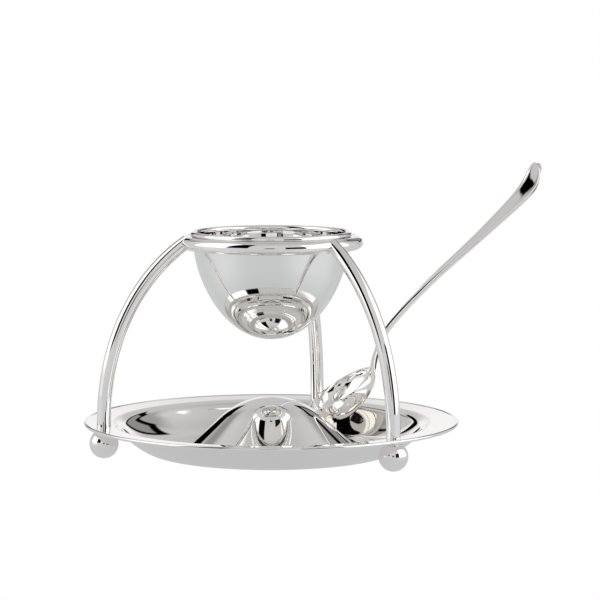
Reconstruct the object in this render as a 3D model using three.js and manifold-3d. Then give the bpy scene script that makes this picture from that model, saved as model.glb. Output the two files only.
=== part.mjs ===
// Bowl and ladle set: a mirror-polished bowl hangs by its lip in a ring carried by three
// arched legs, which stand on the rim of a round dish with three ball feet. The dish rises
// to a dome under the bowl, and a loose ladle leans in the moat around the dome.
// Millimetres, +Z up; the origin is on the table, under the middle of the whole set.
import * as THREE from 'three';
import { mergeVertices } from 'three/addons/utils/BufferGeometryUtils.js';
import Module from 'manifold-3d';

// ---------- driving dimensions ----------
const GAP = 0.3;                  // clearance kept between touching pieces
const SHEET = 1.0;                // thickness of the spun dish and bowl
const AXIS_X = -24.6;             // the axis stands left of the middle, as the ladle leans right

// feet and legs
const LEG_NAMES = ['right', 'back', 'left'];
const FIRST_LEG_ANGLE = -46;      // degrees from +X; the front is -Y
const FOOT_RADIUS = 88.4;         // radius of the circle that the legs stand on
const BALL_RADIUS = 7.5;
const LEG_TUBE_RADIUS = 3.6;
const LEG_KNEE = [88.9, 72.6];    // [radius, height] guide points of the leg's arch
const LEG_SHOULDER = [59.9, 100.7];
const LEG_TOP_RISE = 1.0;         // the arch aims this far above the ring's centre
const STUD_RADIUS = 1.5;
const STUD_IN_BALL = 6;
const STUD_IN_LEG = 8;
const CUT_MARGIN = 2;             // how far a cutting body reaches past what it cuts

// dish, measured on its underside
const DISH_BOTTOM = 0;            // the flat of the moat rests on the table with the feet
const DOME_TOP = 28;
const DOME_CAP_RADIUS = 37.3;
const DOME_FLANK_ANGLE = 41.6;    // slope of the dome's conical flank, degrees
const DOME_FOOT_RADIUS = 8;       // of the curve from the flank to the flat
const MOAT_FLAT_RADIUS = 58;      // outer radius of the flat
const UPTURN_RADIUS = 18;         // first curve of the wall, up to UPTURN_ANGLE
const UPTURN_ANGLE = 27;
const WALL_RADIUS = 38;           // second, gentler curve, up to WALL_ANGLE
const WALL_ANGLE = 51;
const FLANGE_SLOPE = 3.7;         // degrees, rising outwards
const FLANGE_EDGE_RADIUS = 95.2;
const DISH_WIRE_RADIUS = 0.95;

// ring and bowl
const RING_RADIUS = 44.3;
const RING_TUBE_RADIUS = 3.5;
const RING_HEIGHT = 109.8;
const BOWL_RADIUS = 40.2;
const BOWL_BOTTOM = 59.2;
const BOWL_SHOULDER = 108.4;      // height where the wall turns vertical
const BOWL_TOP = 111.9;
const BOWL_BASE_GUIDE = 26.4;     // lengths of the guide arms of the bowl's curve
const BOWL_WALL_GUIDE = 14.8;
const LIP_WIRE_RADIUS = 1.7;
const LIP_CIRCLE_RADIUS = 40.4;
const LIP_HEIGHT = 113.9;

// ladle
const LADLE_YAW = 14;             // degrees about +Z; the handle points towards +X
const LADLE_TILT = 32.4;          // slope of the ladle bowl's mouth, degrees
const LADLE_PLACE = [37.2, 56.4, 25.5];           // centre of the mouth, from the axis
const LADLE_HALF_LENGTH = 20.8;
const LADLE_HALF_WIDTH = 20;
const LADLE_DEPTH = 13.3;
const LADLE_LEAN = 0.3;           // how much deeper the ladle bowl is towards its tip
const LADLE_SHEET = 1.2;
// [along, height] points of the handle's spine from the mouth's centre, in the ladle's
// upright plane: a steep neck, a long straight rise, and an end that turns up
const HANDLE_SPINE = [
  [17.6, 7.5], [19.8, 18.5], [26.3, 32.3], [48.6, 55.6], [77.7, 81], [97.6, 99.2], [105.4, 107.6], [109.2, 114.2],
  [111.5, 121],
];
const HANDLE_NECK_HALF_WIDTH = 2.6;
const HANDLE_END_HALF_WIDTH = 13.4;
const HANDLE_ROOT_FLARE = 3.2;    // extra half width where the handle leaves the bowl
const HANDLE_HALF_THICKNESS = 1.3;
const HANDLE_ROUND_END = 0.13;    // part of the handle's length taken by its round end

const deg = THREE.MathUtils.degToRad;
const legAngles = LEG_NAMES.map((name, i) => deg(FIRST_LEG_ANGLE + (i * 360) / LEG_NAMES.length));
const wasm = await Module();
wasm.setup();

// ---------- helpers ----------
function finish(color, roughness) {
  return new THREE.MeshStandardMaterial({ color, roughness, metalness: 1 });
}

function toSolid(geometry) {
  const bare = geometry.clone();
  bare.deleteAttribute('normal');
  bare.deleteAttribute('uv');
  const merged = mergeVertices(bare, 1e-4);
  return new wasm.Manifold(new wasm.Mesh({
    numProp: 3,
    vertProperties: new Float32Array(merged.attributes.position.array),
    triVerts: new Uint32Array(merged.index.array),
  }));
}

function toGeometry(solid) {
  const mesh = solid.getMesh();
  const geometry = new THREE.BufferGeometry();
  const position = new THREE.BufferAttribute(new Float32Array(mesh.vertProperties), 3);
  geometry.setAttribute('position', position);
  geometry.setIndex(new THREE.BufferAttribute(new Uint32Array(mesh.triVerts), 1));
  geometry.computeVertexNormals();
  return geometry;
}

// An outline of [radius, height] points turned about +Z; it ends on the axis or where it began.
function turned(outline, segments) {
  const points = outline.map(([radius, height]) => new THREE.Vector2(radius, height));
  return new THREE.LatheGeometry(points, segments).rotateX(Math.PI / 2);
}

function ringAt(radius, tube, height, around, along) {
  return new THREE.TorusGeometry(radius, tube, around, along).translate(0, 0, height);
}

// A vertical cylinder standing on the foot circle at angle zero.
function footCylinder(radius, low, high, segments) {
  return new THREE.CylinderGeometry(radius, radius, high - low, segments)
    .rotateX(Math.PI / 2)
    .translate(FOOT_RADIUS, 0, (low + high) / 2);
}

function arc(centre, radius, fromAngle, toAngle, steps) {
  const points = [];
  for (let i = 0; i <= steps; i += 1) {
    const angle = deg(fromAngle + ((toAngle - fromAngle) * i) / steps);
    points.push([centre[0] + radius * Math.cos(angle), centre[1] + radius * Math.sin(angle)]);
  }
  return points;
}

const model = new THREE.Group();
model.position.x = AXIS_X;

function add(parent, name, geometry, material) {
  const mesh = new THREE.Mesh(geometry, material);
  mesh.name = name;
  parent.add(mesh);
}

// ---------- dish ----------
// The underside and the upper side are parallel curves: a round cap, a conical flank and a
// curve down to the flat, then two curves up the wall, a reverse arc and the rising flange.
const sin = (angle) => Math.sin(deg(angle));
const cos = (angle) => Math.cos(deg(angle));
const tan = (angle) => Math.tan(deg(angle));

const flankFall = DOME_TOP - DISH_BOTTOM
  - (DOME_CAP_RADIUS + DOME_FOOT_RADIUS) * (1 - cos(DOME_FLANK_ANGLE));
const MOAT_START = (DOME_CAP_RADIUS + DOME_FOOT_RADIUS) * sin(DOME_FLANK_ANGLE)
  + flankFall / tan(DOME_FLANK_ANGLE);
const wallCentre = [
  MOAT_FLAT_RADIUS + (UPTURN_RADIUS - WALL_RADIUS) * sin(UPTURN_ANGLE),
  DISH_BOTTOM + UPTURN_RADIUS - (UPTURN_RADIUS - WALL_RADIUS) * cos(UPTURN_ANGLE),
];
const wallEnd = [
  wallCentre[0] + WALL_RADIUS * sin(WALL_ANGLE),
  wallCentre[1] - WALL_RADIUS * cos(WALL_ANGLE),
];
// The reverse arc's radius brings the flange's underside just above the ball feet.
const riseLeft = 2 * BALL_RADIUS + GAP - wallEnd[1] - (FOOT_RADIUS - wallEnd[0]) * tan(FLANGE_SLOPE);
const SHOULDER_RADIUS = riseLeft / (
  cos(FLANGE_SLOPE) - cos(WALL_ANGLE)
  - (sin(WALL_ANGLE) - sin(FLANGE_SLOPE)) * tan(FLANGE_SLOPE)
);
const shoulderCentre = [
  wallEnd[0] + SHOULDER_RADIUS * sin(WALL_ANGLE),
  wallEnd[1] - SHOULDER_RADIUS * cos(WALL_ANGLE),
];

// Height of the dish at a radius on the flange; offset 0 is the underside.
function flangeHeight(radius, offset) {
  const start = shoulderCentre[0] - SHOULDER_RADIUS * sin(FLANGE_SLOPE);
  const startHeight = shoulderCentre[1] + SHOULDER_RADIUS * cos(FLANGE_SLOPE);
  return startHeight + (radius - start) * tan(FLANGE_SLOPE) + offset / cos(FLANGE_SLOPE);
}

function dishCurve(offset) {
  const capCentre = [0, DOME_TOP - DOME_CAP_RADIUS];
  const footCentre = [MOAT_START, DISH_BOTTOM + DOME_FOOT_RADIUS];
  const upturnCentre = [MOAT_FLAT_RADIUS, DISH_BOTTOM + UPTURN_RADIUS];
  return [
    ...arc(capCentre, DOME_CAP_RADIUS + offset, 90, 90 - DOME_FLANK_ANGLE, 5),
    ...arc(footCentre, DOME_FOOT_RADIUS - offset, -90 - DOME_FLANK_ANGLE, -90, 3),
    ...arc(upturnCentre, UPTURN_RADIUS - offset, -90, -90 + UPTURN_ANGLE, 2),
    ...arc(wallCentre, WALL_RADIUS - offset, -90 + UPTURN_ANGLE, -90 + WALL_ANGLE, 3).slice(1),
    ...arc(shoulderCentre, SHOULDER_RADIUS + offset, 90 + WALL_ANGLE, 90 + FLANGE_SLOPE, 3).slice(1),
    [FLANGE_EDGE_RADIUS, flangeHeight(FLANGE_EDGE_RADIUS, offset)],
  ].map(([radius, height]) => [Math.max(radius, 0), height]);
}

function buildDish() {
  const blank = turned([...dishCurve(0), ...dishCurve(SHEET).reverse()], 64);
  const holeLow = flangeHeight(FOOT_RADIUS, 0) - CUT_MARGIN;
  const holeHigh = flangeHeight(FOOT_RADIUS, SHEET) + CUT_MARGIN;
  let solid = toSolid(blank);
  for (const angle of legAngles) {
    const hole = footCylinder(STUD_RADIUS + GAP, holeLow, holeHigh, 16).rotateZ(angle);
    solid = solid.subtract(toSolid(hole));
  }
  return toGeometry(solid);
}

const dishSilver = finish('#d6d4d1', 0.05);
const standSilver = finish('#d8d6d3', 0.05);
const bowlSilver = finish('#d7d6d5', 0.04);
const ladleSilver = finish('#d5d2cf', 0.07);
const studSteel = finish('#8d8d8f', 0.35);

const wireHeight = flangeHeight(FLANGE_EDGE_RADIUS, SHEET / 2);
const wireRadius = FLANGE_EDGE_RADIUS + GAP + DISH_WIRE_RADIUS;
add(model, 'dish', buildDish(), dishSilver);
add(model, 'dish_edge_wire', ringAt(wireRadius, DISH_WIRE_RADIUS, wireHeight, 8, 72), dishSilver);

// ---------- ring ----------
add(model, 'top_ring', ringAt(RING_RADIUS, RING_TUBE_RADIUS, RING_HEIGHT, 14, 54), standSilver);

// ---------- legs, feet and studs ----------
function buildLeg() {
  const arch = new THREE.CubicBezierCurve3(
    new THREE.Vector3(FOOT_RADIUS, 0, flangeHeight(FOOT_RADIUS, SHEET)),
    new THREE.Vector3(LEG_KNEE[0], 0, LEG_KNEE[1]),
    new THREE.Vector3(LEG_SHOULDER[0], 0, LEG_SHOULDER[1]),
    new THREE.Vector3(RING_RADIUS, 0, RING_HEIGHT + LEG_TOP_RISE),
  );
  const section = new THREE.Shape().absarc(0, 0, LEG_TUBE_RADIUS, 0, 2 * Math.PI);
  const sweep = { steps: 20, bevelEnabled: false, extrudePath: arch, curveSegments: 8 };
  const rod = toSolid(new THREE.ExtrudeGeometry(section, sweep));
  const ringSpace = toSolid(ringAt(RING_RADIUS, RING_TUBE_RADIUS + GAP, RING_HEIGHT, 14, 54)
    .rotateZ(-legAngles[0]));
  // The foot is cut level with the flange, by a wide band that lies under it.
  const near = FOOT_RADIUS - LEG_TUBE_RADIUS - CUT_MARGIN;
  const far = FOOT_RADIUS + LEG_TUBE_RADIUS + CUT_MARGIN;
  const low = flangeHeight(near, SHEET) - CUT_MARGIN;
  const floor = toSolid(turned([
    [near, low],
    [far, low],
    [far, flangeHeight(far, SHEET + GAP)],
    [near, flangeHeight(near, SHEET + GAP)],
    [near, low],
  ], 72));
  const socket = toSolid(footCylinder(STUD_RADIUS + GAP, low, studTop + GAP, 16));
  return toGeometry(rod.subtract(ringSpace).subtract(floor).subtract(socket));
}

function buildBall() {
  const ball = new THREE.SphereGeometry(BALL_RADIUS, 24, 16)
    .rotateX(Math.PI / 2)
    .translate(FOOT_RADIUS, 0, BALL_RADIUS);
  const socket = footCylinder(STUD_RADIUS + GAP, studBottom - GAP, 2 * BALL_RADIUS + CUT_MARGIN, 16);
  return toGeometry(toSolid(ball).subtract(toSolid(socket)));
}

const studBottom = 2 * BALL_RADIUS - STUD_IN_BALL;
const studTop = flangeHeight(FOOT_RADIUS, SHEET) + STUD_IN_LEG;
const leg = buildLeg();
const ball = buildBall();
const stud = footCylinder(STUD_RADIUS, studBottom, studTop, 12);

LEG_NAMES.forEach((side, i) => {
  const spoke = new THREE.Group();
  spoke.rotation.z = legAngles[i];
  add(spoke, `leg_${side}`, leg, standSilver);
  add(spoke, `ball_foot_${side}`, ball, standSilver);
  add(spoke, `foot_stud_${side}`, stud, studSteel);
  model.add(spoke);
});

// ---------- bowl ----------
// The section of the wall is one cubic curve from the pole to the vertical shoulder; the
// inside follows it at the sheet's thickness.
function bowlCurve(offset, steps) {
  const section = new THREE.CubicBezierCurve(
    new THREE.Vector2(0, BOWL_BOTTOM),
    new THREE.Vector2(BOWL_BASE_GUIDE, BOWL_BOTTOM),
    new THREE.Vector2(BOWL_RADIUS, BOWL_SHOULDER - BOWL_WALL_GUIDE),
    new THREE.Vector2(BOWL_RADIUS, BOWL_SHOULDER),
  );
  const points = [];
  for (let i = 0; i <= steps; i += 1) {
    const place = section.getPoint(i / steps);
    const along = section.getTangent(i / steps);
    points.push([i === 0 ? 0 : place.x - along.y * offset, place.y + along.x * offset]);
  }
  points.push([BOWL_RADIUS - offset, BOWL_TOP]);
  return points;
}

add(model, 'bowl', turned([...bowlCurve(0, 13), ...bowlCurve(SHEET, 13).reverse()], 54), bowlSilver);
add(model, 'bowl_lip_wire', ringAt(LIP_CIRCLE_RADIUS, LIP_WIRE_RADIUS, LIP_HEIGHT, 10, 54), bowlSilver);

// ---------- ladle ----------
// The bowl of the ladle is a turned shell, stretched to an oval and made deeper towards
// its tip. Its own frame has +X towards the handle and +Z out of the mouth.
function ladleShell() {
  const outline = (radius, depth) => {
    const points = [];
    for (let i = 0; i <= 9; i += 1) {
      const part = Math.sin(deg(i * 10));
      points.push([radius * part, -depth * Math.sqrt(1 - part ** 2.6)]);
    }
    return points;
  };
  const outside = outline(1, LADLE_DEPTH);
  const inside = outline(1 - LADLE_SHEET / LADLE_HALF_LENGTH, LADLE_DEPTH - LADLE_SHEET);
  const shell = turned([...outside, ...inside.reverse()], 36);
  const place = shell.attributes.position;
  for (let i = 0; i < place.count; i += 1) {
    place.setZ(i, place.getZ(i) * (1 - LADLE_LEAN * place.getX(i)));
  }
  return shell.scale(LADLE_HALF_LENGTH, LADLE_HALF_WIDTH, 1).rotateY(-deg(LADLE_TILT));
}

function handleHalfWidth(part) {
  const taper = HANDLE_NECK_HALF_WIDTH
    + (HANDLE_END_HALF_WIDTH - HANDLE_NECK_HALF_WIDTH) * part ** 2
    + HANDLE_ROOT_FLARE * Math.exp(-part / 0.04);
  const intoEnd = Math.max(0, part - (1 - HANDLE_ROUND_END)) / HANDLE_ROUND_END;
  return taper * Math.sqrt(Math.max(1 - intoEnd ** 2, 0.01));
}

// A closed cylinder is bent along the spine, with the half width set along its length.
function ladleHandle() {
  const spine = new THREE.CatmullRomCurve3(HANDLE_SPINE.map(([x, z]) => new THREE.Vector3(x, 0, z)));
  const bar = new THREE.CylinderGeometry(1, 1, 1, 12, 26);
  const place = bar.attributes.position;
  for (let i = 0; i < place.count; i += 1) {
    const part = 1 - (0.5 - place.getY(i)) ** 1.5;    // finer rings towards the round end
    const centre = spine.getPointAt(part);
    const along = spine.getTangentAt(part);
    const lift = place.getZ(i) * HANDLE_HALF_THICKNESS;
    place.setXYZ(
      i,
      centre.x - along.z * lift,
      -place.getX(i) * handleHalfWidth(part),
      centre.z + along.x * lift,
    );
  }
  return bar;
}

function buildLadle() {
  const hollow = toSolid(ladleShell());
  return toGeometry(hollow.add(toSolid(ladleHandle())));
}

const ladle = new THREE.Group();
ladle.position.set(...LADLE_PLACE);
ladle.rotation.z = deg(LADLE_YAW);
add(ladle, 'ladle', buildLadle(), ladleSilver);
model.add(ladle);

export default model;
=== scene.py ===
"""Looks of the bowl and ladle set: mirror-polished silver plate in a white studio tent."""
import math

import bmesh
import bpy
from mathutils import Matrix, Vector


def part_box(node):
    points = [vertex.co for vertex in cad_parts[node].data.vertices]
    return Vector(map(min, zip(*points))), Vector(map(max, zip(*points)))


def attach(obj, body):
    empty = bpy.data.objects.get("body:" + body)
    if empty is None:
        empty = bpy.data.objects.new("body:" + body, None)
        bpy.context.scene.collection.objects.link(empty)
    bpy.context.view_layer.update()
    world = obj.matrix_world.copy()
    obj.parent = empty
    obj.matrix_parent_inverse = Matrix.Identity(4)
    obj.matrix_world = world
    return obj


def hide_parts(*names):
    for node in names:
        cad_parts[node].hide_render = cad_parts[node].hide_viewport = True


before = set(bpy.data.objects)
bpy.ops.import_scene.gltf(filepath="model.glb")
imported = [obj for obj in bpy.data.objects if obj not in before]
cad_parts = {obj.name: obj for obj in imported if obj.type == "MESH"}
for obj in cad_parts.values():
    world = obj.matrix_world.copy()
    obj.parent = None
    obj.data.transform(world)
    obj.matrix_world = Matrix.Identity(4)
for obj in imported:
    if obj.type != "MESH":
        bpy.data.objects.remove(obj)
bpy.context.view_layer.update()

MM = 0.001


# ---------- places and sizes that the frame gives, in millimetres ----------
def node_box(name):
    low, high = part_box(name)
    return low / MM, high / MM


def ring_sizes(name):
    """Centre circle radius, wire radius and height of a node that is a torus."""
    low, high = node_box(name)
    wire = (high.z - low.z) / 2
    return (high.y - low.y) / 2 - wire, wire, (high.z + low.z) / 2


RING_RADIUS, RING_TUBE, RING_HEIGHT = ring_sizes("top_ring")
LIP_RADIUS, LIP_WIRE, LIP_HEIGHT = ring_sizes("bowl_lip_wire")
EDGE_RADIUS, EDGE_WIRE, EDGE_HEIGHT = ring_sizes("dish_edge_wire")
ring_low, ring_high = node_box("top_ring")
AXIS = Vector(((ring_low.x + ring_high.x) / 2, (ring_low.y + ring_high.y) / 2, 0))
DISH_TOP = node_box("dish")[1].z
BALL_RADIUS = (node_box("ball_foot_right")[1].x - node_box("ball_foot_right")[0].x) / 2
BOWL_LOW, BOWL_HIGH = node_box("bowl")


def foot_angle(side):
    """Direction of a ball foot from the axis, in radians, and its distance."""
    low, high = node_box(f"ball_foot_{side}")
    place = (low + high) / 2 - AXIS
    return math.atan2(place.y, place.x), math.hypot(place.x, place.y)


# ---------- shape of the pieces, in millimetres and degrees ----------
SHEET = 1.0                     # thickness of the dish and the bowl

# the dish's section, on its underside, from the axis outwards
DOME_CAP = 37.3                 # radius of the round top
DOME_FLANK = 41.6               # slope of the straight flank
DOME_FOOT = 8.0                 # radius of the curve into the moat
MOAT_FLAT = 58.0                # where the flat ends
UPTURN, UPTURN_ANGLE = 18.0, 27.0    # radius and end slope of the first curve of the wall
WALL, WALL_ANGLE = 38.0, 51.0        # the same for the second
FLANGE_SLOPE = 3.7
FLANGE_UNDERSIDE = 15.3         # height over the ball feet

# the bowl's section: lengths of the curve's two guides
BOWL_BASE_GUIDE = 26.4
BOWL_WALL_GUIDE = 14.8
BOWL_SHOULDER = 3.5             # how far below its top the bowl's wall is upright

# the legs: guides of the curve as (distance from the axis, height)
LEG_RADIUS = 3.6
LEG_KNEE = (88.9, 72.6)
LEG_SHOULDER = (59.9, 100.7)
LEG_TOP_RISE = 1.0              # how far above the ring's centre line a leg's own line ends

# the ladle
LADLE_YAW = 14.0
LADLE_TILT = 32.4               # slope of the bowl's mouth
LADLE_PLACE = Vector((37.2, 56.4, 25.5))    # centre of the mouth, from the axis
LADLE_HALF_LENGTH = 20.8
LADLE_HALF_WIDTH = 20.0
LADLE_DEPTH = 13.3
LADLE_LEAN = 0.3                # how much deeper the bowl is towards its tip
LADLE_SHEET = 1.2

# its handle: the spine as (along, height) from the mouth's centre
HANDLE_SPINE = [(17.6, 7.5), (19.8, 18.5), (26.3, 32.3), (48.6, 55.6), (77.7, 81), (97.6, 99.2),
                (105.4, 107.6), (108.8, 114.2), (110.4, 121)]
HANDLE_NECK = 2.6               # half width at the neck
HANDLE_END = 13.4               # half width at the end
HANDLE_FLARE = 3.2              # extra half width where the handle leaves the bowl
HANDLE_FLARE_LENGTH = 0.04      # share of the handle's length over which that dies away
HANDLE_THICKNESS = 1.3          # half thickness
HANDLE_ROUND_END = 0.13         # share of the length taken by the round end
HANDLE_PANEL = (0.3, 0.35)      # where the panel starts and how long it takes to open, as shares
HANDLE_HOLLOW = 0.55            # how deep the panel on the handle's face is let in
HANDLE_TWIST = 6.0              # how far the handle's end is turned towards the front
HANDLE_BORDER = 0.2             # share of the half width taken by the border round it


def sin(angle):
    return math.sin(math.radians(angle))


def cos(angle):
    return math.cos(math.radians(angle))


def tan(angle):
    return math.tan(math.radians(angle))


# ---------- mesh making ----------
def finish_mesh(name, points, faces, sharp=40):
    """A smooth-shaded object from points in millimetres, with its faces turned outwards."""
    mesh = bpy.data.meshes.new(name)
    mesh.from_pydata([Vector(p) * MM for p in points], [], faces)
    work = bmesh.new()
    work.from_mesh(mesh)
    bmesh.ops.recalc_face_normals(work, faces=work.faces)
    work.to_mesh(mesh)
    work.free()
    mesh.shade_smooth()
    mesh.set_sharp_from_angle(angle=math.radians(sharp))
    piece = bpy.data.objects.new(name, mesh)
    bpy.context.scene.collection.objects.link(piece)
    return piece


def turned(name, outline, segments=288, centre=None, sharp=40):
    """A closed outline of (radius, height) turned about a vertical axis."""
    centre = AXIS if centre is None else centre
    points, rows, faces = [], [], []
    for radius, height in outline:
        start = len(points)
        if radius < 1e-4:
            points.append(centre + Vector((0, 0, height)))
            rows.append([start] * segments)
            continue
        for k in range(segments):
            turn = 2 * math.pi * k / segments
            points.append(centre + Vector((radius * math.cos(turn), radius * math.sin(turn), height)))
        rows.append(list(range(start, start + segments)))
    for here, there in zip(rows, rows[1:] + rows[:1]):
        for k in range(segments):
            corners = [here[k], there[k], there[(k + 1) % segments], here[(k + 1) % segments]]
            face = list(dict.fromkeys(corners))
            if len(face) > 2:
                faces.append(face)
    return finish_mesh(name, points, faces, sharp)


def arc(centre, radius, start, end, steps):
    return [
        (centre[0] + radius * cos(start + (end - start) * i / steps),
         centre[1] + radius * sin(start + (end - start) * i / steps))
        for i in range(steps + 1)
    ]


def torus(name, radius, wire, height, along=288, around=48):
    outline = arc((radius, height), wire, 0, 360, around)[:-1]
    return turned(name, outline, along)


def bezier(guides, t):
    weights = ((1 - t) ** 3, 3 * t * (1 - t) ** 2, 3 * t * t * (1 - t), t ** 3)
    return tuple(sum(w * g[i] for w, g in zip(weights, guides)) for i in range(2))


def bezier_slope(guides, t):
    weights = ((1 - t) ** 2, 2 * t * (1 - t), t * t)
    steps = [(b[0] - a[0], b[1] - a[1]) for a, b in zip(guides, guides[1:])]
    slope = Vector([sum(w * s[i] for w, s in zip(weights, steps)) for i in range(2)])
    return slope.normalized()


# ---------- dish ----------
def dish_curve(offset, edge):
    """The dish's section from the axis to the edge; offset 0 is the underside."""
    top = DISH_TOP - SHEET
    fall = top - (DOME_CAP + DOME_FOOT) * (1 - cos(DOME_FLANK))
    moat = (DOME_CAP + DOME_FOOT) * sin(DOME_FLANK) + fall / tan(DOME_FLANK)
    wall_centre = (MOAT_FLAT + (UPTURN - WALL) * sin(UPTURN_ANGLE),
                   UPTURN - (UPTURN - WALL) * cos(UPTURN_ANGLE))
    wall_end = (wall_centre[0] + WALL * sin(WALL_ANGLE), wall_centre[1] - WALL * cos(WALL_ANGLE))
    rise = FLANGE_UNDERSIDE - wall_end[1] - (foot_angle("right")[1] - wall_end[0]) * tan(FLANGE_SLOPE)
    shoulder = rise / (cos(FLANGE_SLOPE) - cos(WALL_ANGLE)
                       - (sin(WALL_ANGLE) - sin(FLANGE_SLOPE)) * tan(FLANGE_SLOPE))
    shoulder_centre = (wall_end[0] + shoulder * sin(WALL_ANGLE),
                       wall_end[1] - shoulder * cos(WALL_ANGLE))
    start = (shoulder_centre[0] - shoulder * sin(FLANGE_SLOPE),
             shoulder_centre[1] + shoulder * cos(FLANGE_SLOPE))
    end_height = start[1] + (edge - start[0]) * tan(FLANGE_SLOPE) + offset / cos(FLANGE_SLOPE)
    return (
        arc((0, top - DOME_CAP), DOME_CAP + offset, 90, 90 - DOME_FLANK, 36)
        + arc((moat, DOME_FOOT), DOME_FOOT - offset, -90 - DOME_FLANK, -90, 20)
        + arc((MOAT_FLAT, UPTURN), UPTURN - offset, -90, -90 + UPTURN_ANGLE, 16)
        + arc(wall_centre, WALL - offset, -90 + UPTURN_ANGLE, -90 + WALL_ANGLE, 20)[1:]
        + arc(shoulder_centre, shoulder + offset, 90 + WALL_ANGLE, 90 + FLANGE_SLOPE, 24)[1:]
        + [(edge, end_height)]
    )


def make_dish():
    edge = EDGE_RADIUS - EDGE_WIRE / 2
    shell = turned("dish_shell", dish_curve(0, edge) + dish_curve(SHEET, edge)[::-1], 320)
    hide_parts("dish")
    wire = torus("dish_rim_wire", EDGE_RADIUS, EDGE_WIRE, EDGE_HEIGHT, 320, 24)
    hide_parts("dish_edge_wire")
    return [shell, wire]


# ---------- ring, legs and ball feet ----------
def make_leg(side):
    angle, reach = foot_angle(side)
    foot_height = FLANGE_UNDERSIDE + SHEET / 2
    guides = [(reach, foot_height), LEG_KNEE, LEG_SHOULDER, (RING_RADIUS, RING_HEIGHT + LEG_TOP_RISE)]
    steps, sides = 96, 40
    points, faces = [], []
    for i in range(steps + 1):
        radius, height = bezier(guides, i / steps)
        along = bezier_slope(guides, i / steps)
        for j in range(sides):
            turn = 2 * math.pi * j / sides
            out = LEG_RADIUS * math.cos(turn)
            across = LEG_RADIUS * math.sin(turn)
            r, z = radius - along.y * out, height + along.x * out
            points.append(AXIS + Vector((r * math.cos(angle) - across * math.sin(angle),
                                         r * math.sin(angle) + across * math.cos(angle), z)))
    for i in range(steps):
        for j in range(sides):
            k = (j + 1) % sides
            faces.append([i * sides + j, i * sides + k, (i + 1) * sides + k, (i + 1) * sides + j])
    faces.append(list(range(sides)))
    faces.append(list(range(steps * sides, (steps + 1) * sides)))
    leg = finish_mesh(f"arched_leg_{side}", points, faces)
    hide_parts(f"leg_{side}")
    return leg


def make_ball(side):
    low, high = node_box(f"ball_foot_{side}")
    centre = Vector(((low.x + high.x) / 2, (low.y + high.y) / 2, 0))
    outline = arc((0, BALL_RADIUS), BALL_RADIUS, -90, 90, 48)
    outline[0], outline[-1] = (0, 0), (0, 2 * BALL_RADIUS)
    ball = turned(f"ball_{side}", outline, 96, centre)
    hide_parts(f"ball_foot_{side}")
    return ball


def make_stand():
    ring = torus("carrying_ring", RING_RADIUS, RING_TUBE, RING_HEIGHT)
    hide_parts("top_ring")
    pieces = [ring]
    for side in ("right", "back", "left"):
        pieces += [make_leg(side), make_ball(side)]
    return pieces


# ---------- bowl ----------
def bowl_curve(offset, steps=72):
    radius = (BOWL_HIGH.y - BOWL_LOW.y) / 2
    shoulder = BOWL_HIGH.z - BOWL_SHOULDER
    guides = [(0, BOWL_LOW.z), (BOWL_BASE_GUIDE, BOWL_LOW.z),
              (radius, shoulder - BOWL_WALL_GUIDE), (radius, shoulder)]
    points = []
    for i in range(steps + 1):
        place = bezier(guides, i / steps)
        along = bezier_slope(guides, i / steps)
        points.append((max(place[0] - along.y * offset, 0), place[1] + along.x * offset))
    return points + [(radius - offset, LIP_HEIGHT - LIP_WIRE / 2)]


def make_bowl():
    shell = turned("bowl_shell", bowl_curve(0) + bowl_curve(SHEET)[::-1])
    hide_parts("bowl")
    lip = torus("bowl_lip", LIP_RADIUS, LIP_WIRE, LIP_HEIGHT, 288, 36)
    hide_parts("bowl_lip_wire")
    return [shell, lip]


# ---------- ladle ----------
def to_row(x, y, z):
    """From the ladle's own place, handle towards +X, into the row's frame."""
    return AXIS + LADLE_PLACE + Vector((x * cos(LADLE_YAW) - y * sin(LADLE_YAW),
                                        x * sin(LADLE_YAW) + y * cos(LADLE_YAW), z))


def ladle_bowl():
    outline, steps = [], 40
    for scale, depth in ((1, LADLE_DEPTH), (1 - LADLE_SHEET / LADLE_HALF_LENGTH, LADLE_DEPTH - LADLE_SHEET)):
        side = []
        for i in range(steps + 1):
            part = math.sin(math.radians(90 * i / steps))
            side.append((scale * part, -depth * math.sqrt(max(1 - part ** 2.6, 0))))
        outline += side if scale == 1 else side[::-1]
    shell = turned("ladle_bowl", outline, 160, Vector((0, 0, 0)))
    for vertex in shell.data.vertices:
        x, y, z = vertex.co / MM
        z *= 1 - LADLE_LEAN * x
        x, y = x * LADLE_HALF_LENGTH, y * LADLE_HALF_WIDTH
        x, z = x * cos(LADLE_TILT) - z * sin(LADLE_TILT), x * sin(LADLE_TILT) + z * cos(LADLE_TILT)
        vertex.co = to_row(x, y, z) * MM
    return shell


def spline(points, t):
    """Catmull-Rom curve through the points, t from 0 to 1."""
    ends = [(2 * points[0][0] - points[1][0], 2 * points[0][1] - points[1][1])]
    tails = [(2 * points[-1][0] - points[-2][0], 2 * points[-1][1] - points[-2][1])]
    line = ends + list(points) + tails
    place = min(t * (len(points) - 1), len(points) - 1 - 1e-9)
    i, u = int(place), place - int(place)
    a, b, c, d = line[i:i + 4]
    return tuple(
        0.5 * (2 * b[k] + (c[k] - a[k]) * u + (2 * a[k] - 5 * b[k] + 4 * c[k] - d[k]) * u * u
               + (3 * b[k] - a[k] - 3 * c[k] + d[k]) * u ** 3)
        for k in range(2)
    )


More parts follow.
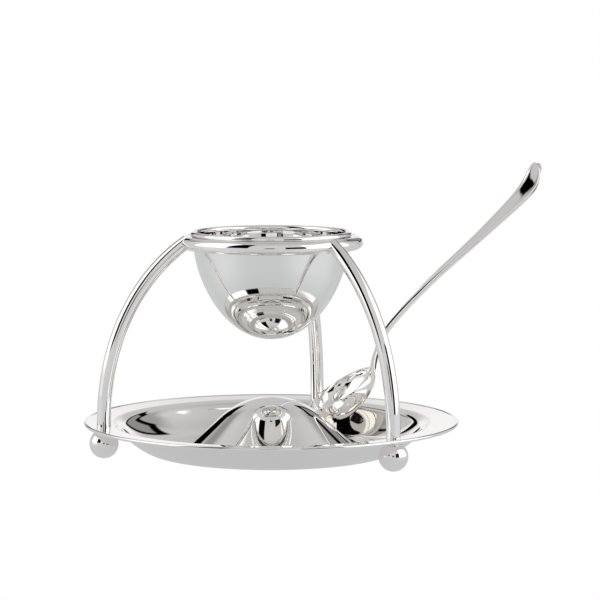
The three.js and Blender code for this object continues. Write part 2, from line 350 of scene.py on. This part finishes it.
def even_spine(steps):
    """Points of the handle's spine at even distances, with its direction at each."""
    fine = [Vector(spline(HANDLE_SPINE, i / 600)) for i in range(601)]
    lengths = [0.0]
    for a, b in zip(fine, fine[1:]):
        lengths.append(lengths[-1] + (b - a).length)
    spine, j = [], 0
    for i in range(steps + 1):
        part = 1 - (1 - i / steps) ** 1.5
        want = part * lengths[-1]
        while j < 599 and lengths[j + 1] < want:
            j += 1
        mix = (want - lengths[j]) / (lengths[j + 1] - lengths[j])
        spine.append((part, fine[j].lerp(fine[j + 1], mix), (fine[j + 1] - fine[j]).normalized()))
    return spine


def handle_half_width(part):
    flare = HANDLE_FLARE * math.exp(-part / HANDLE_FLARE_LENGTH)
    width = HANDLE_NECK + (HANDLE_END - HANDLE_NECK) * part ** 2 + flare
    into_end = max(0, part - (1 - HANDLE_ROUND_END)) / HANDLE_ROUND_END
    return width * math.sqrt(max(1 - into_end ** 2, 0.004))


def handle_section(turn, part):
    """Across and up, as shares of the half width and half thickness, at one place of the section."""
    across, up = math.sin(turn), math.cos(turn)
    flat = abs(up) ** 0.45 * math.copysign(1, up)
    wide = abs(across) ** 0.8 * math.copysign(1, across)
    inside = 1 - abs(wide) / (1 - HANDLE_BORDER)
    opened = min(1, max(0, (part - HANDLE_PANEL[0]) / HANDLE_PANEL[1]))
    if up > 0 and inside > 0:
        flat -= HANDLE_HOLLOW * opened * min(1, inside / 0.18) ** 0.7
    return wide, flat


def ladle_handle():
    sides = 96
    points, faces = [], []
    spine = even_spine(180)
    for part, centre, along in spine:
        half = handle_half_width(part)
        for j in range(sides):
            turn = 2 * math.pi * j / sides
            wide, flat = handle_section(turn, part)
            lift = HANDLE_THICKNESS * flat + half * wide * sin(HANDLE_TWIST * part ** 4)
            across = half * wide * cos(HANDLE_TWIST * part ** 4)
            points.append(to_row(centre.x - along.y * lift, across, centre.y + along.x * lift))
    for i in range(len(spine) - 1):
        for j in range(sides):
            k = (j + 1) % sides
            faces.append([i * sides + j, i * sides + k, (i + 1) * sides + k, (i + 1) * sides + j])
    faces.append(list(range(sides)))
    faces.append(list(range((len(spine) - 1) * sides, len(spine) * sides)))
    return finish_mesh("ladle_handle", points, faces)


def make_ladle():
    body, handle = ladle_bowl(), ladle_handle()
    join = body.modifiers.new("join", "BOOLEAN")
    join.operation = "UNION"
    join.solver = "EXACT"
    join.object = handle
    bpy.context.view_layer.update()
    joined = body.evaluated_get(bpy.context.evaluated_depsgraph_get())
    mesh = bpy.data.meshes.new_from_object(joined)
    body.modifiers.clear()
    body.data = mesh
    bpy.data.objects.remove(handle)
    mesh.shade_smooth()
    mesh.set_sharp_from_angle(angle=math.radians(40))
    body.name = "one_piece_ladle"
    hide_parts("ladle")
    return body


# ---------- materials ----------
def silver(name, tint, roughness, wear_scale, haze):
    """Polished plate: fine wipe marks, a faint uneven tone and slightly duller patches."""
    material = bpy.data.materials.new(name)
    material.use_nodes = True
    nodes, links = material.node_tree.nodes, material.node_tree.links
    shader = nodes["Principled BSDF"]
    shader.inputs["Metallic"].default_value = 1.0
    place = nodes.new("ShaderNodeTexCoord")

    patches = nodes.new("ShaderNodeTexNoise")
    patches.inputs["Scale"].default_value = wear_scale
    patches.inputs["Detail"].default_value = 5.0
    links.new(place.outputs["Object"], patches.inputs["Vector"])

    tone = nodes.new("ShaderNodeValToRGB")
    tone.color_ramp.elements[0].position = 0.3
    tone.color_ramp.elements[0].color = (*[c * 0.975 for c in tint], 1)
    tone.color_ramp.elements[1].position = 0.7
    tone.color_ramp.elements[1].color = (*tint, 1)
    links.new(patches.outputs["Fac"], tone.inputs["Fac"])
    links.new(tone.outputs["Color"], shader.inputs["Base Color"])

    dullness = nodes.new("ShaderNodeMapRange")
    dullness.inputs["From Min"].default_value = 0.35
    dullness.inputs["From Max"].default_value = 0.75
    dullness.inputs["To Min"].default_value = roughness
    dullness.inputs["To Max"].default_value = roughness + haze
    links.new(patches.outputs["Fac"], dullness.inputs["Value"])
    links.new(dullness.outputs["Result"], shader.inputs["Roughness"])

    stretch = nodes.new("ShaderNodeMapping")
    stretch.inputs["Scale"].default_value = (900, 900, 5200)
    links.new(place.outputs["Object"], stretch.inputs["Vector"])
    scratches = nodes.new("ShaderNodeTexNoise")
    scratches.inputs["Scale"].default_value = 1.0
    scratches.inputs["Detail"].default_value = 3.0
    links.new(stretch.outputs["Vector"], scratches.inputs["Vector"])
    bump = nodes.new("ShaderNodeBump")
    bump.inputs["Strength"].default_value = 0.012
    bump.inputs["Distance"].default_value = 0.00002
    links.new(scratches.outputs["Fac"], bump.inputs["Height"])
    links.new(bump.outputs["Normal"], shader.inputs["Normal"])
    return material


def stud_steel():
    material = bpy.data.materials.new("stud_steel")
    material.use_nodes = True
    nodes, links = material.node_tree.nodes, material.node_tree.links
    shader = nodes["Principled BSDF"]
    shader.inputs["Metallic"].default_value = 1.0
    shader.inputs["Base Color"].default_value = (0.42, 0.42, 0.43, 1)
    grain = nodes.new("ShaderNodeTexNoise")
    grain.inputs["Scale"].default_value = 1400
    spread = nodes.new("ShaderNodeMapRange")
    spread.inputs["To Min"].default_value = 0.28
    spread.inputs["To Max"].default_value = 0.45
    links.new(grain.outputs["Fac"], spread.inputs["Value"])
    links.new(spread.outputs["Result"], shader.inputs["Roughness"])
    return material


def dress(pieces, body, material):
    for piece in pieces:
        piece.data.materials.clear()
        piece.data.materials.append(material)
        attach(piece, body)


dress(make_dish(), "stand", silver("dish_silver", (0.93, 0.915, 0.895), 0.018, 26, 0.02))
dress(make_stand(), "stand", silver("stand_silver", (0.94, 0.925, 0.91), 0.018, 60, 0.02))
dress(make_bowl(), "bowl", silver("bowl_silver", (0.94, 0.93, 0.915), 0.015, 30, 0.015))
dress([make_ladle()], "ladle", silver("ladle_silver", (0.93, 0.915, 0.89), 0.025, 45, 0.03))
steel = stud_steel()
for side in ("right", "back", "left"):
    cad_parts[f"foot_stud_{side}"].data.materials.clear()
    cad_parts[f"foot_stud_{side}"].data.materials.append(steel)


# ---------- studio ----------
CENTRE = AXIS * MM                # the table under the axis, in metres
TENT_RADIUS = 1.5
TENT_WALL, TENT_ROOF = 0.66, 0.54    # brightness of the bare cloth
TENT_BACK_DIM = 0.08                 # how much dimmer the cloth is behind the object
# the reflected table's glow holds painted light and shade: brighter towards the soft boxes, with painted
# shade below the object
TABLE_PAINTED_SHADE_BELOW, TABLE_FRONT, TABLE_PAINTED_LIGHT_SIDES = 0.56, 0.64, 0.86


class Graph:
    """Short names for making a node tree."""

    def __init__(self, tree):
        self.tree = tree

    def make(self, kind, **settings):
        node = self.tree.nodes.new(kind)
        for key, value in settings.items():
            setattr(node, key, value)
        return node

    def plug(self, source, socket):
        if isinstance(source, (int, float)):
            socket.default_value = source
        else:
            self.tree.links.new(source, socket)

    def math(self, operation, *sources):
        node = self.make("ShaderNodeMath", operation=operation)
        for source, socket in zip(sources, node.inputs):
            self.plug(source, socket)
        return node.outputs[0]

    def ease(self, value, start, end):
        """0 before start, 1 after end, smooth between; start may be the larger."""
        node = self.make("ShaderNodeMapRange", interpolation_type="SMOOTHSTEP")
        ends = ((start, end, 0, 1) if start < end else (end, start, 1, 0))
        for source, socket in zip((value, *ends), node.inputs):
            self.plug(source, socket)
        return node.outputs[0]

    def window(self, value, start, end, soft):
        rise = self.ease(value, start - soft, start + soft)
        fall = self.ease(value, end + soft, end - soft)
        return self.math("MULTIPLY", rise, fall)

    def mix(self, share, before, after):
        change = self.math("MULTIPLY", self.math("SUBTRACT", after, before), share)
        return self.math("ADD", before, change)


def glow(name, colour, strength):
    material = bpy.data.materials.new(name)
    material.use_nodes = True
    graph = Graph(material.node_tree)
    graph.tree.nodes.clear()
    emission = graph.make("ShaderNodeEmission")
    emission.inputs["Color"].default_value = (*colour, 1)
    graph.plug(strength(graph) if callable(strength) else strength, emission.inputs["Strength"])
    graph.plug(emission.outputs[0], graph.make("ShaderNodeOutputMaterial").inputs["Surface"])
    return material


# name, brightness, turn from and to, height from and to, softness; all but brightness in degrees.
# Turns run from the front, positive to the right. Later ones cover earlier ones.
TENT_PANELS = (
    ("backdrop_left", 0.95, -181, -164, -20, 16, 6),
    ("backdrop_right", 0.95, 160, 181, -20, 16, 6),
    ("dim_cloth_left", 0.30, -150, -131, 26, 42, 6),
    ("dim_cloth_right", 0.36, 128, 150, 22, 42, 6),
    ("soft_box_left", 1.3, -108, -57, 6, 66, 3),
    ("side_glow_left", 0.9, -100, -57, -6, 8, 4),
    ("soft_box_right", 1.3, 44, 112, -12, 52, 3),
    ("flag_left", 0.0, -56, -28, 12, 66, 1),
    ("flag_right", 0.01, 18, 44, -9, 27, 1),
    ("camera_gap", 0.03, -7, 5, 4, 15, 2),
    ("gap_left", 0.0, -163, -148, 8, 29, 1),
    ("gap_right", 0.0, 144, 163, 8, 36, 1),
    ("gap_right_cloth", 0.28, 149, 160, 12, 31, 1),
)


def tent_light(graph):
    """Brightness of the tent from the direction in which a point of it lies."""
    place = graph.make("ShaderNodeTexCoord").outputs["Object"]
    split = graph.make("ShaderNodeSeparateXYZ")
    graph.plug(place, split.inputs[0])
    x, y, z = split.outputs
    turn = graph.math("DEGREES", graph.math("ARCTAN2", x, graph.math("MULTIPLY", y, -1.0)))
    flat = graph.math("SQRT", graph.math("ADD", graph.math("MULTIPLY", x, x), graph.math("MULTIPLY", y, y)))
    rise = graph.math("DEGREES", graph.math("ARCTAN2", z, flat))
    cloth = graph.mix(graph.ease(rise, 40, 75), TENT_WALL, TENT_ROOF)
    back = graph.math("MULTIPLY", graph.ease(graph.math("ABSOLUTE", turn), 115, 150), TENT_BACK_DIM)
    level = graph.math("SUBTRACT", cloth, back)
    for _, bright, start, end, low, high, soft in TENT_PANELS:
        share = graph.math("MULTIPLY", graph.window(turn, start, end, soft),
                           graph.window(rise, low, high, soft))
        level = graph.mix(share, level, bright)
    return level


def table_painted_light_and_shade(graph):
    """The table's glow has painted light and shade: it is brighter towards the soft boxes, and painted shade
    dims it below the object.
    """
    split = graph.make("ShaderNodeSeparateXYZ")
    graph.plug(graph.make("ShaderNodeTexCoord").outputs["Object"], split.inputs[0])
    x, y, _ = split.outputs
    turn = graph.math("DEGREES", graph.math("ARCTAN2", x, graph.math("MULTIPLY", y, -1.0)))
    away = graph.math("SQRT", graph.math("ADD", graph.math("MULTIPLY", x, x), graph.math("MULTIPLY", y, y)))
    sides = graph.math("ADD", graph.window(turn, 28, 105, 20), graph.window(turn, -100, -50, 25))
    lit = graph.mix(graph.math("MULTIPLY", sides, 0.5), TABLE_FRONT, TABLE_PAINTED_LIGHT_SIDES)
    # painted shade: the glow dims close below the object
    return graph.mix(graph.ease(away, 0.02, 0.22), TABLE_PAINTED_SHADE_BELOW, lit)


def stage_mesh(name, points, faces, material, shown):
    """A stage surface that either only the camera sees or only the reflections see."""
    mesh = bpy.data.meshes.new(name)
    mesh.from_pydata(points, [], faces)
    mesh.shade_smooth()
    mesh.materials.append(material)
    surface = bpy.data.objects.new(name, mesh)
    bpy.context.scene.collection.objects.link(surface)
    surface.location = CENTRE
    surface.visible_camera = shown
    surface.visible_glossy = not shown
    surface.visible_diffuse = not shown
    surface.visible_shadow = False
    return surface


def sphere_points(radius, rings=48, segments=96):
    points = [(radius * cos(lift) * cos(turn), radius * cos(lift) * sin(turn), radius * sin(lift))
              for lift in (-90 + 180 * i / rings for i in range(rings + 1))
              for turn in (360 * j / segments for j in range(segments))]
    faces = [[i * segments + j, i * segments + (j + 1) % segments,
              (i + 1) * segments + (j + 1) % segments, (i + 1) * segments + j]
             for i in range(rings) for j in range(segments)]
    return points, faces


def disc_points(radius, height, segments=96):
    points = [(radius * cos(360 * j / segments), radius * sin(360 * j / segments), height)
              for j in range(segments)]
    return points, [list(range(segments))]


CAMERA_PLACE = Vector((14.9, -1402.9, 222.0))      # from the axis on the table
CAMERA_PITCH = 5.80
CAMERA_LENS = 163.04

# the tent and the table that the silver reflects, and the plain white that the camera sees
stage_mesh("tent", *sphere_points(TENT_RADIUS), glow("tent", (1, 1, 1), tent_light), shown=False)
stage_mesh("table", *disc_points(TENT_RADIUS * 0.99, -0.0004), glow("table", (0.965, 0.98, 1.0), table_painted_light_and_shade),
           shown=False)
stage_mesh("floor", *disc_points(30, -0.0002), glow("floor", (1, 1, 1), 1.0), shown=True)
stage_mesh("surround", *sphere_points(40), glow("surround", (1, 1, 1), 1.0), shown=True)

world = bpy.data.worlds.new("studio")
world.use_nodes = True
world.node_tree.nodes["Background"].inputs["Color"].default_value = (0.6, 0.6, 0.6, 1)
bpy.context.scene.world = world

bpy.context.scene.view_settings.view_transform = "Standard"

camera_point = CENTRE + CAMERA_PLACE * MM
camera_data = bpy.data.cameras.new("camera")
camera_data.lens = CAMERA_LENS
camera_data.sensor_width = 36
camera_data.clip_end = 200
camera = bpy.data.objects.new("camera", camera_data)
camera.location = camera_point
camera.rotation_euler = (math.radians(90 - CAMERA_PITCH), 0, 0)
bpy.context.scene.collection.objects.link(camera)
bpy.context.scene.camera = camera
